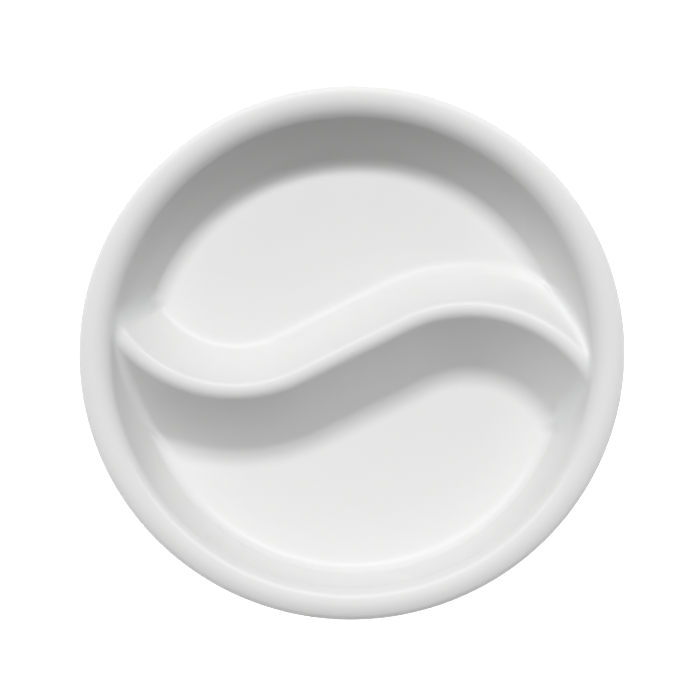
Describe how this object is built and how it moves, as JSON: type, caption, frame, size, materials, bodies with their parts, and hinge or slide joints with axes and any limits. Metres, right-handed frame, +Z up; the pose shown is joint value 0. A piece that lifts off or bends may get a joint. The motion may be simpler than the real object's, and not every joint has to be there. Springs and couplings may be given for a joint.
{
  "type": "divided round dish",
  "caption": "Shallow round porcelain dish with a broad rounded rim, an S-shaped divider between two compartments and a bare foot ring.",
  "frame": {"origin": "centre of the foot ring's ground face, at the bottom centre of the dish", "axes": "+Z up out of the dish; +X towards the end of the divider that stands on the right as the dish is shown, +Y away from the viewer"},
  "size_m": [0.1, 0.1, 0.02],
  "materials": {
    "clay": "bare fired porcelain, matte and slightly warm",
    "glaze": "clear glossy glaze over white porcelain"
  },
  "bodies": {
    "root": {"dish_body": "clay", "divider": "clay", "glaze_coat": "glaze", "underside_glaze": "glaze"}
  },
  "joints": []
}
